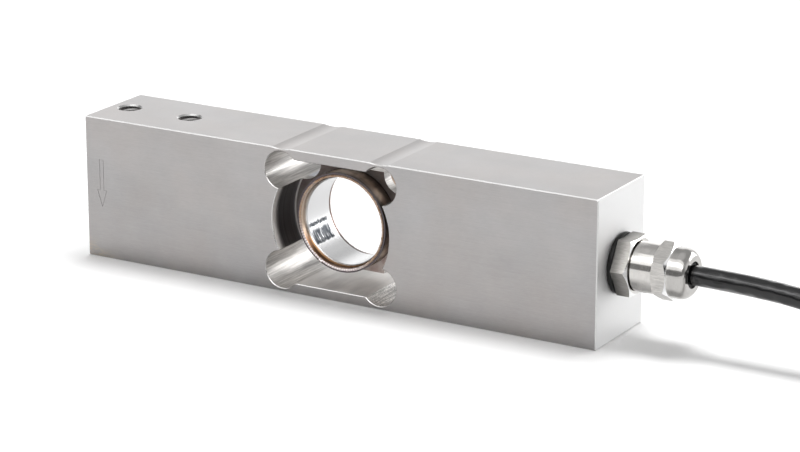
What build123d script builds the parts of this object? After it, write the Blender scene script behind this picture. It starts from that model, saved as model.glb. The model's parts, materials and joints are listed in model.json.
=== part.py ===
from build123d import *
import math
import os

# Single point load cell with a welded sealing sleeve and a gland for its cable.
# Millimetres. The origin is the middle of the beam's bottom face, +X points to the cable end,
# +Y to the back and +Z up.

# Beam block
beam_length = 150.0
beam_width = 25.0
beam_height = 38.0
edge_chamfer = 0.25
lip_chamfer = 0.15
edge_chamfer_share = 0.5
lip_chamfer_share = 0.3

# Clover window: four round lobes, two thin beams between them, and a round bulge at each side
lobe_radius = 5.0
lobe_offset_x = 14.3
flexure_thickness = 0.6
thin_beam_thickness = 2.7
bulge_radius = 17.25

# Shallow relief grooves across the top and bottom faces, above and below the lobes
groove_radius = 12.0
groove_depth = 0.3

# Web in the middle of the width, and the hub that it carries
web_thickness = 3.0
web_slot = 2.9
web_bite = 0.75
hub_outer_radius = 13.0
hub_length = 14.1
hub_wall = 0.8

# Thin sealing sleeve with a wider lip at each end
sleeve_wall = 0.2
sleeve_waist_drop = 0.58
sleeve_lip_length = 1.35
sleeve_neck_length = 0.8
sleeve_fit = 0.02
weld_height = 0.3
weld_reach = 0.4

# Strain gauges and their printed strip on the hub's inner wall
gauge_count = 4
gauge_half_width = 1.8
gauge_angle = 24.0
foil_thickness = 0.1
strip_width = 1.6
strip_angle = 300.0
tab_angle = 12.0
tab_width = 1.0

# Tapped fastening holes, M6, at the thread's full radius
fastening_thread_radius = 3.0
countersink_radius = 3.4
hole_depth = 11.0
drill_tip = 1.5
first_hole_from_end = 5.5
hole_pitch = 19.0

# Arrow of the load's direction, engraved as an outline on the front face
arrow_from_end = 4.9
arrow_top = 26.8
arrow_shoulder = 18.6
arrow_tip = 13.75
arrow_shaft_half_width = 0.66
arrow_head_half_width = 1.6
engraved_line = 0.16
engraving_depth = 0.08

# Bore in the cable end, from the gland's thread down to the hub
thread_radius = 6.0
thread_length = 6.0
thread_fit = 0.05
cavity_radius = 5.25
cavity_depth = 29.0
pocket_radius = 1.8
pocket_depth = 3.5
channel_radius = 0.8

# Sealed lead-through at the bottom of the cavity
header_radius = 3.0
header_wall = 0.6
header_length = 3.0
header_seat = 2.0
header_fit = 0.02
pin_radius = 0.25
pin_reach = 3.0
bridge_wire_radius = 0.225
bridge_wire_spacing = 0.3

# Compensation board and what is on it
board_thickness = 1.0
board_gap = 0.12
board_end_gap = 4.5
liner_wall = 0.45
liner_fit = 0.05
liner_start = 1.2
liner_end_gap = 1.0
board_short = 1.5
resistor_size = (2.0, 1.25, 0.6)
resistor_pitch = 2.2
nickel_size = (3.2, 1.6, 0.6)
nickel_gap = 1.4
pad_size = (2.4, 1.4, 0.1)
pad_pitch = 2.6

# Cable gland
seal_thickness = 1.2
seal_radius = 7.7
seal_swell = 0.3
body_hex_flats = 14.0
body_hex_length = 4.0
hex_chamfer = 0.55
hex_face_chamfer = 0.14
hex_chamfer_angle = 30.0
neck_radius = 5.2
neck_length = 6.8
neck_fit = 0.05
neck_wall = 0.85
body_shoulder = 1.3
bore_gap = 0.1
nut_gap = 0.3
nut_skirt_radius = 6.25
nut_skirt_length = 5.5
nut_hex_flats = 13.0
nut_hex_length = 4.0
nut_collar_radius = 6.3
nut_collar_length = 1.9
nut_dome_length = 2.6
nut_dome_drop = 1.6
nut_mouth_radius = 3.33
nut_mouth_depth = 2.5
nut_bore_depth = 7.0
cage_fit = 0.05
cage_wall = 0.65
cage_ring = 2.5
finger_count = 8
finger_slot = 0.7
insert_length = 8.5
insert_recess = 0.5
insert_fit = 0.05

# Cable and its cores, and the corners of its way down: run from the gland, aside and down
cable_diameter = 5.0
cable_corners = ((18.0, 0.0, 0.0), (37.0, 0.6, 2.0), (55.0, 4.0, 10.4))
last_run = 14.0
arc_share = 0.45
core_count = 6
core_radius = 0.6
core_ring_radius = 1.35
first_core_angle = 30.0
core_lead_in = 1.0
core_slant = 2.0

# Hank of the put-away length: columns of turns beside each other, and layers on each other
hank_fold_radius = 15.0
hank_columns = 2
hank_layers = 5
hank_run = 88.5
hank_shift = 10.0
hank_lead_in = 16.0
hank_start = 195.0

# Tie round one side of the hank
tie_thickness = 1.2
tie_width = 4.8
tie_squeeze_side = 0.5
tie_squeeze_height = 1.25
tie_head = (6.0, 4.0, 8.0)

# Free end of the cable, on top of the hank
tail_length = 32.0
end_sleeve_length = 8.0
end_sleeve_overlap = 7.0
end_sleeve_wall = 0.3
lead_length = 40.0
lead_pitch = 1.5
tip_length = 5.0
tip_radius = 0.4
lead_straight = 2.5
lead_drop_run = 5.0
lead_upper_delay = 5.0
lead_names = ("grey", "red", "blue", "green", "white", "black")

# Sizes that follow from the ones above
mid_height = beam_height / 2
half_length = beam_length / 2
half_width = beam_width / 2
window_half_height = mid_height - thin_beam_thickness
lobe_offset_z = mid_height - groove_depth - flexure_thickness - lobe_radius
web_half_height = window_half_height - web_slot
hub_bore_radius = hub_outer_radius - hub_wall
hub_half_length = hub_length / 2
sleeve_lip_radius = hub_bore_radius - sleeve_fit
sleeve_waist_radius = sleeve_lip_radius - sleeve_waist_drop
sleeve_shoulder = hub_half_length - sleeve_lip_length
sleeve_waist_end = sleeve_shoulder - sleeve_neck_length

cavity_floor = half_length - cavity_depth
header_seat_floor = cavity_floor - header_seat
pocket_end = header_seat_floor - pocket_depth
pin_start = header_seat_floor - pin_radius
header_end = header_seat_floor + header_length
pin_end = header_end + pin_reach
pin_offset = board_thickness / 2 + pin_radius
board_start = header_end + pin_radius
cable_end_x = half_length - thread_length
board_end = cable_end_x - board_end_gap
liner_inner_radius = cavity_radius - liner_fit - liner_wall
board_half_width = liner_inner_radius - board_gap
board_top = board_thickness / 2

seal_end = half_length + seal_thickness
body_hex_end = seal_end + body_hex_length
neck_end = body_hex_end + neck_length
nut_start = body_hex_end + nut_gap
nut_hex_start = nut_start + nut_skirt_length
nut_hex_end = nut_hex_start + nut_hex_length
nut_collar_end = nut_hex_end + nut_collar_length
nut_end = nut_collar_end + nut_dome_length
nut_bore_radius = neck_radius + neck_fit
cage_outer_radius = neck_radius - neck_wall
body_seat = body_hex_end + body_shoulder
body_seat_radius = cage_outer_radius + cage_fit
cage_inner_radius = cage_outer_radius - cage_wall
cable_radius = cable_diameter / 2
body_bore_radius = cable_radius + bore_gap
insert_radius = cage_inner_radius - insert_fit
insert_nose_radius = nut_mouth_radius - insert_fit
exit_x = nut_end - insert_recess
nut_bore_end = nut_start + nut_bore_depth
nut_mouth_start = nut_end - nut_mouth_depth
cone_share = (nut_bore_radius - cage_outer_radius - cage_fit) / (nut_bore_radius - nut_mouth_radius)
cage_end = nut_bore_end + cone_share * (nut_mouth_start - nut_bore_end)

# The route of the cable from the gland down to the hank on the floor
hank_outer_fold = hank_fold_radius + cable_diameter * (hank_columns - 1)
hank_side_y = hank_shift - hank_outer_fold
hank_height = cable_diameter * hank_layers
hank_entry_x = hank_start - hank_lead_in
hank_centre_x = hank_start + hank_run / 2
cable_route = [(exit_x, 0.0, mid_height)]
cable_route += [(exit_x + run, -aside, mid_height - down) for run, aside, down in cable_corners]
cable_route += [(hank_entry_x - last_run, hank_side_y, cable_radius)]
cable_route += [(hank_entry_x, hank_side_y, cable_radius)]
tail_y = hank_shift - (hank_fold_radius + hank_outer_fold) / 2
tail_z = hank_height + cable_radius + end_sleeve_wall
tail_end = hank_start + tail_length
sleeve_end = tail_end + end_sleeve_length


# Small tools for outlines and turned shapes
def plate(outline, thickness):
    """An outline seen from the front, as a plate about the middle of the width."""
    return Pos(0, 0, mid_height) * extrude(Plane.XZ * outline, thickness / 2, both=True)


def turned_about_x(outline):
    """A half section, along X and out from the axis, turned about the gland's axis."""
    return Pos(0, 0, mid_height) * revolve(make_face(outline), Axis.X)


def turned_about_y(points, angle=360.0, start=0.0):
    """A half section, out from the axis and along Y, turned about the hub's axis."""
    section = make_face(Polyline(*points, close=True))
    return Pos(0, 0, mid_height) * Rot(0, start, 0) * revolve(section, Axis.Y, angle)


def turned_about_z(points):
    """A half section, out from the axis and up, turned about the vertical."""
    return Rot(90, 0, 0) * revolve(make_face(Polyline(*points, close=True)), Axis.Y)


def ring(outer, inner, start, end):
    """A round ring along the gland's axis."""
    points = [(start, inner), (end, inner), (end, outer), (start, outer)]
    return turned_about_x(Polyline(*points, close=True))


def rod(radius, start, end, y=0.0, z=0.0):
    """A round rod along X, at y and z from the gland's axis."""
    body = Cylinder(radius, end - start, rotation=(0, 90, 0))
    return Pos((start + end) / 2, y, mid_height + z) * body


def block(size, x, y, z):
    """A block along X that stands on the height z above the gland's axis."""
    return Pos(x, y, mid_height + z + size[2] / 2) * Box(*size)


def hexagon(flats, start, end, turn):
    """A hexagonal bar along the gland's axis."""
    outline = RegularPolygon(flats / math.sqrt(3), 6, rotation=turn)
    return Pos(start, 0, mid_height) * extrude(Plane.YZ * outline, end - start)


def bent_wire(points, radius):
    """A round wire along straight runs with an arc at each corner."""
    path = FilletPolyline(*points, radius=corner_radii(points))
    section = Plane(path @ 0, z_dir=path % 0) * Circle(radius)
    return sweep(section, path)


def corner_radii(points):
    """The arc at each corner of a route, as large as its two runs allow."""
    radii = []
    for before, corner, after in zip(points, points[1:], points[2:]):
        into = Vector(*corner) - Vector(*before)
        out = Vector(*after) - Vector(*corner)
        half_turn = math.radians(into.get_angle(out)) / 2
        radii.append(arc_share * min(into.length, out.length) / math.tan(half_turn))
    return radii


def mirrored_places(x, z):
    return [(side * x, level * z) for side in (-1, 1) for level in (-1, 1)]


# Beam body
def clover_window():
    """The outline of the window, seen from the front."""
    band = Rectangle(4 * bulge_radius, 2 * window_half_height)
    window = Rectangle(2 * lobe_offset_x, 2 * window_half_height)
    window += Circle(bulge_radius) & band
    for x, z in mirrored_places(lobe_offset_x, lobe_offset_z):
        window += Pos(x, z) * Circle(lobe_radius)
    return window


def beam_outline():
    """The block seen from the front, with its grooves and its window."""
    outline = Rectangle(beam_length, beam_height)
    outline = chamfer(outline.vertices(), edge_chamfer)
    groove_centre = mid_height + groove_radius - groove_depth
    for x, z in mirrored_places(lobe_offset_x, groove_centre):
        outline -= Pos(x, z) * Circle(groove_radius)
    return outline - clover_window()


def on_side_face(edge):
    return abs(abs(edge.center().Y) - half_width) < 1e-4


def in_window(edge):
    place = edge.center()
    inside_height = abs(place.Z - mid_height) < mid_height - groove_depth - flexure_thickness / 2
    return abs(place.X) < lobe_offset_x + lobe_radius and inside_height


def broken_edges(beam):
    """The small chamfers along the edges of the two side faces."""
    rims = [edge for edge in beam.edges() if on_side_face(edge)]
    outer = [edge for edge in rims if not in_window(edge)]
    beam = chamfer(outer, min(edge_chamfer, flexure_thickness * edge_chamfer_share))
    lips = [edge for edge in beam.edges() if on_side_face(edge) and in_window(edge)]
    return chamfer(lips, min(lip_chamfer, flexure_thickness * lip_chamfer_share))


def web():
    """The wall in the middle of the width that carries the hub, cut by the lobes."""
    reach = bulge_radius + web_bite
    outline = Circle(reach) & Rectangle(4 * reach, 2 * web_half_height)
    for x, z in mirrored_places(lobe_offset_x, lobe_offset_z):
        outline -= Pos(x, z) * Circle(lobe_radius)
    return plate(outline, web_thickness)


def hub_cylinder(radius, length):
    return Pos(0, 0, mid_height) * Cylinder(radius, length, rotation=(90, 0, 0))


def tapped_hole(x, face, inwards):
    """A drilled and countersunk hole; inwards is -1 from the top face and 1 from the bottom."""
    countersink = countersink_radius - fastening_thread_radius
    points = [
        (0, face),
        (countersink_radius, face),
        (fastening_thread_radius, face + inwards * countersink),
        (fastening_thread_radius, face + inwards * hole_depth),
        (0, face + inwards * (hole_depth + drill_tip)),
    ]
    return Pos(x, 0, 0) * turned_about_z(points)


def load_arrow():
    """The grooves of the arrow's outline, as deep as they go into the front face."""
    right = [
        (arrow_shaft_half_width, arrow_top),
        (arrow_shaft_half_width, arrow_shoulder),
        (arrow_head_half_width, arrow_shoulder),
        (0, arrow_tip),
    ]
    left = [(-x, z) for x, z in reversed(right[:-1])]
    outline = make_face(Polyline(*right, *left, close=True))
    groove = outline - offset(outline, -engraved_line, kind=Kind.INTERSECTION)
    front = Plane((arrow_from_end - half_length, -half_width, 0), x_dir=(1, 0, 0), z_dir=(0, -1, 0))
    return extrude(front * groove, -engraving_depth)


def cable_end_bore():
    """Gland thread, board cavity, lead-through seat and wire channel, in one bore to the hub."""
    points = [
        (half_length, 0),
        (half_length, thread_radius),
        (cable_end_x, thread_radius),
        (cable_end_x, cavity_radius),
        (cavity_floor, cavity_radius),
        (cavity_floor, header_radius + header_fit),
        (header_seat_floor, header_radius + header_fit),
        (header_seat_floor, pocket_radius),
        (pocket_end, pocket_radius),
        (pocket_end, channel_radius),
        (sleeve_waist_radius, channel_radius),
        (sleeve_waist_radius, 0),
    ]
    return turned_about_x(Polyline(*points, close=True))


def beam_body():
    beam = broken_edges(plate(beam_outline(), beam_width))
    beam += web()
    beam += hub_cylinder(hub_outer_radius, hub_length)
    beam -= hub_cylinder(hub_bore_radius, hub_length)
    load_end = -half_length + first_hole_from_end
    fixing_end = half_length - first_hole_from_end
    for step in range(2):
        beam -= tapped_hole(load_end + step * hole_pitch, beam_height, -1)
        beam -= tapped_hole(fixing_end - step * hole_pitch, 0, 1)
    return beam - cable_end_bore() - load_arrow()


# Sealing sleeve and its two edge welds
def sealing_sleeve():
    outer = [
        (sleeve_lip_radius, hub_half_length),
        (sleeve_lip_radius, sleeve_shoulder),
        (sleeve_waist_radius, sleeve_waist_end),
    ]
    mirrored = [(r, -y) for r, y in reversed(outer)]
    inner = [(r - sleeve_wall, y) for r, y in reversed(outer + mirrored)]
    return turned_about_y(outer + mirrored + inner)


def weld_bead(side):
    """The rounded bead that joins the sleeve's lip to the hub's rim; side is -1 at the front."""
    inner = sleeve_lip_radius - sleeve_wall
    outer = hub_bore_radius + min(weld_reach, hub_wall)
    base = side * hub_half_length
    crest = side * (hub_half_length + weld_height)
    foot = Line((inner, base), (outer, base))
    crown = ThreePointArc((outer, base), ((inner + outer) / 2, crest), (inner, base))
    return Pos(0, 0, mid_height) * revolve(make_face(foot + crown), Axis.Y)


# Gauges and wiring in the sealed chamber
def gauge(place):
    """One foil gauge on the hub's inner wall; place is its angle about the hub."""
    inner = hub_bore_radius - foil_thickness
    points = [
        (inner, -gauge_half_width),
        (hub_bore_radius, -gauge_half_width),
        (hub_bore_radius, gauge_half_width),
        (inner, gauge_half_width),
    ]
    return turned_about_y(points, gauge_angle, place - gauge_angle / 2)


def gauge_strip():
    """The printed strip beside the gauges, with a tab over the mouth of the wire channel."""
    inner = hub_bore_radius - foil_thickness
    band = [
        (inner, gauge_half_width),
        (hub_bore_radius, gauge_half_width),
        (hub_bore_radius, gauge_half_width + strip_width),
        (inner, gauge_half_width + strip_width),
    ]
    tab = [
        (inner, -tab_width),
        (hub_bore_radius, -tab_width),
        (hub_bore_radius, gauge_half_width + strip_width / 2),
        (inner, gauge_half_width + strip_width / 2),
    ]
    strip = turned_about_y(band, strip_angle, -strip_angle / 2)
    return strip + turned_about_y(tab, tab_angle, -tab_angle / 2)


def bridge_wires():
    """Four fine wires from the strip's tab to the inner ends of the pins."""
    wires = []
    for y, z in mirrored_places(1, 1):
        near = bridge_wire_spacing
        points = [
            (hub_bore_radius, y * near, mid_height + z * near),
            (pocket_end + pin_radius, y * near, mid_height + z * near),
            (pin_start - pin_radius, y * pin_offset, mid_height + z * pin_offset),
            (pin_start, y * pin_offset, mid_height + z * pin_offset),
        ]
        wires.append(bent_wire(points, bridge_wire_radius))
    return wires


# Sealed lead-through
def header_pins():
    places = mirrored_places(pin_offset, pin_offset)
    return [rod(pin_radius, pin_start, pin_end, y, z) for y, z in places]


def header_shell():
    inner = header_radius - header_wall
    return ring(header_radius, inner, header_seat_floor, header_end)


def header_glass():
    glass = rod(header_radius - header_wall, header_seat_floor, header_end)
    for pin in header_pins():
        glass -= pin
    return glass


# Board in the cavity
def board():
    length = board_end - board_start
    size = (length, 2 * board_half_width, board_thickness)
    return block(size, (board_start + board_end) / 2, 0, -board_top)


def liner():
    start = cavity_floor + liner_start
    end = cable_end_x - liner_end_gap
    return ring(liner_inner_radius + liner_wall, liner_inner_radius, start, end)


def trim_resistors():
    first = pin_end + board_short + resistor_size[0] / 2
    places = [-resistor_pitch, 0, resistor_pitch]
    return [block(resistor_size, first, y, board_top) for y in places]


def nickel_resistor():
    x = pin_end + board_short + resistor_size[0] + nickel_gap + nickel_size[0] / 2
    return block(nickel_size, x, 0, board_top)


def solder_pads():
    x = board_end - pad_size[0] / 2
    places = [-pad_pitch, 0, pad_pitch]
    upper = [block(pad_size, x, y, board_top) for y in places]
    lower = [block(pad_size, x, y, -board_top - pad_size[2]) for y in places]
    return upper + lower


def board_cores():
    """The cable's six cores, from its stripped end to the pads on both faces of the board."""
    cores = []
    level = board_top + pad_size[2] + core_radius
    for i in range(core_count):
        angle = math.radians(first_core_angle + 360 / core_count * i)
        y = core_ring_radius * math.cos(angle)
        z = core_ring_radius * math.sin(angle)
        pad_y = 0.0 if abs(y) < core_radius else math.copysign(pad_pitch, y)
        pad_z = math.copysign(level, z)
        points = [
            (cable_end_x, y, mid_height + z),
            (cable_end_x - core_lead_in, y, mid_height + z),
            (cable_end_x - core_lead_in - core_slant, pad_y, mid_height + pad_z),
            (board_end - pad_size[0], pad_y, mid_height + pad_z),
        ]
        cores.append(bent_wire(points, core_radius))
    return cores


# Cable gland
def gland_seal():
    """The soft ring under the gland's hexagon, a little swollen where it is squeezed."""
    rim = seal_radius - seal_swell
    inner = thread_radius + thread_fit
    middle = (half_length + seal_end) / 2
    sides = Polyline((half_length, rim), (half_length, inner), (seal_end, inner), (seal_end, rim))
    swell = ThreePointArc((seal_end, rim), (middle, seal_radius), (half_length, rim))
    return turned_about_x(sides + swell)


def chamfered_hexagon(flats, start, end, turn, at_start):
    """A hexagon with its corners turned down at the end, and at the start where asked."""
    corner = flats / math.sqrt(3) + hex_chamfer
    flat = flats / 2 - hex_face_chamfer
    slope = (corner - flat) * math.tan(math.radians(hex_chamfer_angle))
    points = [(start, 0), (start, corner), (end - slope, corner), (end, flat), (end, 0)]
    if at_start:
        points[1:2] = [(start, flat), (start + slope, corner)]
    envelope = turned_about_x(Polyline(*points, close=True))
    return hexagon(flats, start, end, turn) & envelope


def gland_body():
    """Thread, hexagon and neck in one turned piece, bored for the cable and the cage."""
    thread = rod(thread_radius - thread_fit, cable_end_x, seal_end)
    body = thread + chamfered_hexagon(body_hex_flats, seal_end, body_hex_end, 0, False)
    body += rod(neck_radius, body_hex_end, neck_end)
    body -= rod(body_bore_radius, cable_end_x, neck_end)
    return body - rod(body_seat_radius, body_seat, neck_end)


def nut_outside():
    skirt = rod(nut_skirt_radius, nut_start, nut_hex_start)
    hexagonal = chamfered_hexagon(nut_hex_flats, nut_hex_start, nut_hex_end, 30, True)
    crown = nut_collar_radius - nut_dome_drop
    sides = Polyline((nut_end, crown), (nut_end, 0), (nut_hex_end, 0), (nut_hex_end, nut_collar_radius))
    collar = Line((nut_hex_end, nut_collar_radius), (nut_collar_end, nut_collar_radius))
    dome = TangentArc((nut_collar_end, nut_collar_radius), (nut_end, crown), tangent=(1, 0))
    return skirt + hexagonal + turned_about_x(sides + collar + dome)


def nut_inside():
    """The nut's threaded bore, the cone that closes the cage, and its mouth."""
    points = [
        (nut_start, 0),
        (nut_start, nut_bore_radius),
        (nut_bore_end, nut_bore_radius),
        (nut_mouth_start, nut_mouth_radius),
        (nut_end, nut_mouth_radius),
        (nut_end, 0),
    ]
    return turned_about_x(Polyline(*points, close=True))


def clamping_cage():
    """A slotted cage whose fingers the nut presses onto the insert."""
    cage = ring(cage_outer_radius, cage_inner_radius, body_seat, cage_end)
    slot_length = cage_end - body_seat - cage_ring
    for i in range(finger_count // 2):
        slot = Box(slot_length, 3 * cage_outer_radius, finger_slot)
        turn = Rot(360 / finger_count * i, 0, 0)
        cage -= Pos(cage_end - slot_length / 2, 0, mid_height) * turn * slot
    return cage


def sealing_insert():
    """The rubber sleeve round the cable, with a nose that fills the nut's mouth."""
    shoulder = body_seat + insert_length
    points = [
        (body_seat, cable_radius),
        (exit_x, cable_radius),
        (exit_x, insert_nose_radius),
        (shoulder, insert_nose_radius),
        (shoulder, insert_radius),
        (body_seat, insert_radius),
    ]
    return turned_about_x(Polyline(*points, close=True))


# Cable, hank and free end
def hank_slot(grow):
    """The hank's outline seen from above, grow outside the middle of its inner turn."""
    radius = hank_fold_radius + grow
    outline = Rectangle(hank_run, 2 * radius)
    outline += Pos(-hank_run / 2, 0) * Circle(radius)
    outline += Pos(hank_run / 2, 0) * Circle(radius)
    return Pos(hank_centre_x, hank_shift) * outline


def cable_hank():
    """The outer shape of the wound length, and the run that leads into its lowest turn."""
    outside = hank_slot(hank_outer_fold - hank_fold_radius + cable_radius)
    hank = extrude(outside - hank_slot(-cable_radius), hank_height)
    lead_in = Cylinder(cable_radius, hank_lead_in, rotation=(0, 90, 0))
    hank += Pos(hank_entry_x + hank_lead_in / 2, hank_side_y, cable_radius) * lead_in
    return hank - cable_tie()


def cable_tie():
    """The tie round the hank's back side, drawn tight into the turns, with its head."""
    middle_y = hank_shift + (hank_fold_radius + hank_outer_fold) / 2
    width = cable_diameter * hank_columns - 2 * tie_squeeze_side
    height = hank_height - 2 * tie_squeeze_height
    opening = Rectangle(width, height)
    loop = Rectangle(width + 2 * tie_thickness, height + 2 * tie_thickness)
    band = extrude(Plane.YZ * (loop - opening), tie_width / 2, both=True)
    head_y = width / 2 + tie_head[1] / 2
    band += Pos(0, head_y, 0) * Box(*tie_head)
    return Pos(hank_centre_x, middle_y, hank_height / 2) * band


def tail_rod(radius, start, end):
    return rod(radius, start, end, tail_y, tail_z - mid_height)


def end_sleeve():
    """The shrunk sleeve over the end of the sheath and the first stretch of the leads."""
    sleeve = tail_rod(cable_radius + end_sleeve_wall, tail_end - end_sleeve_overlap, sleeve_end)
    return sleeve - tail_rod(cable_radius, hank_start, tail_end)


def lead_places():
    """The angle at which each lead leaves the sleeve, and how far aside it comes to lie."""
    places = []
    for i in range(core_count):
        turn = first_core_angle + 360 / core_count * i
        across = math.cos(math.radians(turn))
        height = math.sin(math.radians(turn))
        places.append((across * (1 - height / 10) + height / 100, turn))
    places.sort()
    middle = (core_count - 1) / 2
    return [(turn, lead_pitch * (i - middle)) for i, (order, turn) in enumerate(places)]


def lead(turn, aside):
    angle = math.radians(turn)
    start_y = tail_y + core_ring_radius * math.cos(angle)
    start_z = tail_z + core_ring_radius * math.sin(angle)
    lying_z = hank_height + core_radius
    bend_x = sleeve_end + lead_straight + (lead_upper_delay if start_z > tail_z else 0)
    points = [
        (sleeve_end, start_y, start_z),
        (bend_x, start_y, start_z),
        (bend_x + lead_drop_run, tail_y + aside, lying_z),
        (sleeve_end + lead_length, tail_y + aside, lying_z),
    ]
    return bent_wire(points, core_radius)


def lead_tip(aside):
    start = sleeve_end + lead_length
    level = hank_height + core_radius - mid_height
    return rod(tip_radius, start, start + tip_length, tail_y + aside, level)


# Write each node
def write(name, shape):
    solids = shape if isinstance(shape, list) else [shape]
    export_step(Compound(children=[s for item in solids for s in item.solids()]), f"parts/{name}.step")


os.makedirs("parts", exist_ok=True)
write("beam_body", beam_body())
write("sealing_sleeve", sealing_sleeve())
write("front_weld_bead", weld_bead(-1))
write("rear_weld_bead", weld_bead(1))
for i in range(gauge_count):
    write(f"strain_gauge_{i + 1}", gauge(360 / gauge_count * (i + 0.5)))
write("gauge_strip", gauge_strip())
write("bridge_wires", bridge_wires())
write("header_shell", header_shell())
write("header_glass", header_glass())
write("header_pins", header_pins())
write("cavity_liner", liner())
write("compensation_board", board())
write("trim_resistors", trim_resistors())
write("nickel_resistor", nickel_resistor())
write("solder_pads", solder_pads())
write("board_cores", board_cores())
write("gland_seal", gland_seal())
write("gland_body", gland_body())
write("clamping_cage", clamping_cage())
write("sealing_insert", sealing_insert())
write("cap_nut", nut_outside() - nut_inside())
write("cable_inner_end", rod(cable_radius, cable_end_x, exit_x))
cable = bent_wire(cable_route, cable_radius)
write("cable", cable)
write("cable_hank", cable_hank())
write("cable_tie", cable_tie())
write("cable_tail", tail_rod(cable_radius, hank_start, tail_end))
write("end_sleeve", end_sleeve())
for name, (turn, aside) in zip(lead_names, lead_places()):
    write(f"lead_{name}", lead(turn, aside))
write("lead_tips", [lead_tip(aside) for turn, aside in lead_places()])
print("cable arc radii", [round(r, 1) for r in corner_radii(cable_route)])
path_length = FilletPolyline(*cable_route, radius=corner_radii(cable_route)).length
print("cable volume over section times length", cable.volume / (math.pi * cable_radius**2 * path_length))
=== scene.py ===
import bpy
import json
import math
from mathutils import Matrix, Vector


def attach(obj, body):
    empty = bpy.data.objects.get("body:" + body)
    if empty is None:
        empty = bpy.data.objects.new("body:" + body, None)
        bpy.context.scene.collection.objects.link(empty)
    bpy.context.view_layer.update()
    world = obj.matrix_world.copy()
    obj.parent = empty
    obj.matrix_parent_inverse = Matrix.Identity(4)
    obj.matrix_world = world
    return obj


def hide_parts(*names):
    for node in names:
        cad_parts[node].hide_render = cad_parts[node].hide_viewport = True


# Single point load cell, in the frame of the CAD: +X to the cable end, +Y to the back, +Z up.
# Blender works in metres. Lengths in the dictionaries are in mm where no note says metres.
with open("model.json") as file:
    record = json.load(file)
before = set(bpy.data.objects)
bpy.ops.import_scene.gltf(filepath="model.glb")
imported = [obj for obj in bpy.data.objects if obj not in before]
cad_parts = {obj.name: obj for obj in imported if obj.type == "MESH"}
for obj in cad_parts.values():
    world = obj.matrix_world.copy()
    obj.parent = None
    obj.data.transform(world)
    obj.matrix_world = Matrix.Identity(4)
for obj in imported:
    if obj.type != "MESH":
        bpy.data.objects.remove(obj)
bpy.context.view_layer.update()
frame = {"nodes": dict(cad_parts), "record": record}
print("frame loaded", len(frame["nodes"]), "nodes")

mm = 0.001
axisLevel = 19.0  # mm, the height of the axis of the hub and of the gland
axisHeight = axisLevel * mm
smoothAngle = math.radians(40)


def clearSelection():
    bpy.ops.object.select_all(action="DESELECT")
    bpy.context.view_layer.objects.active = None


def makeActive(piece):
    clearSelection()
    piece.select_set(True)
    bpy.context.view_layer.objects.active = piece


def applyModifier(piece, kind, **settings):
    makeActive(piece)
    modifier = piece.modifiers.new(kind.title(), kind)
    for name, value in settings.items():
        setattr(modifier, name, value)
    bpy.ops.object.modifier_apply(modifier=modifier.name)


def placeIntoMesh(piece):
    makeActive(piece)
    bpy.ops.object.transform_apply(location=True, rotation=True, scale=True)


def addBlock(place, size):
    # a block to shape further, its place and size in mm
    clearSelection()
    bpy.ops.mesh.primitive_cube_add(size=1, location=[value * mm for value in place])
    block = bpy.context.active_object
    block.scale = [value * mm for value in size]
    placeIntoMesh(block)
    return block


def selectWhere(piece, kind, isChosen):
    # goes into edit mode with the chosen points, edges or faces selected
    makeActive(piece)
    bpy.ops.object.mode_set(mode="EDIT")
    bpy.ops.mesh.select_mode(type=kind)
    bpy.ops.mesh.select_all(action="DESELECT")
    bpy.ops.object.mode_set(mode="OBJECT")
    mesh = piece.data
    for element in {"VERT": mesh.vertices, "EDGE": mesh.edges, "FACE": mesh.polygons}[kind]:
        element.select = isChosen(element)
    bpy.ops.object.mode_set(mode="EDIT")


def selectAll(piece):
    makeActive(piece)
    bpy.ops.object.mode_set(mode="EDIT")
    bpy.ops.mesh.select_all(action="SELECT")


def leaveEditing():
    bpy.ops.mesh.select_all(action="DESELECT")
    bpy.ops.object.mode_set(mode="OBJECT")


def finishPiece(piece, name, material, node=None):
    piece.name = name
    piece.data.name = name
    placeIntoMesh(piece)
    bpy.ops.object.shade_smooth_by_angle(angle=smoothAngle)
    piece.data.materials.clear()
    piece.data.materials.append(material)
    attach(piece, "root")
    if node:
        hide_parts(node)
    return piece


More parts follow.
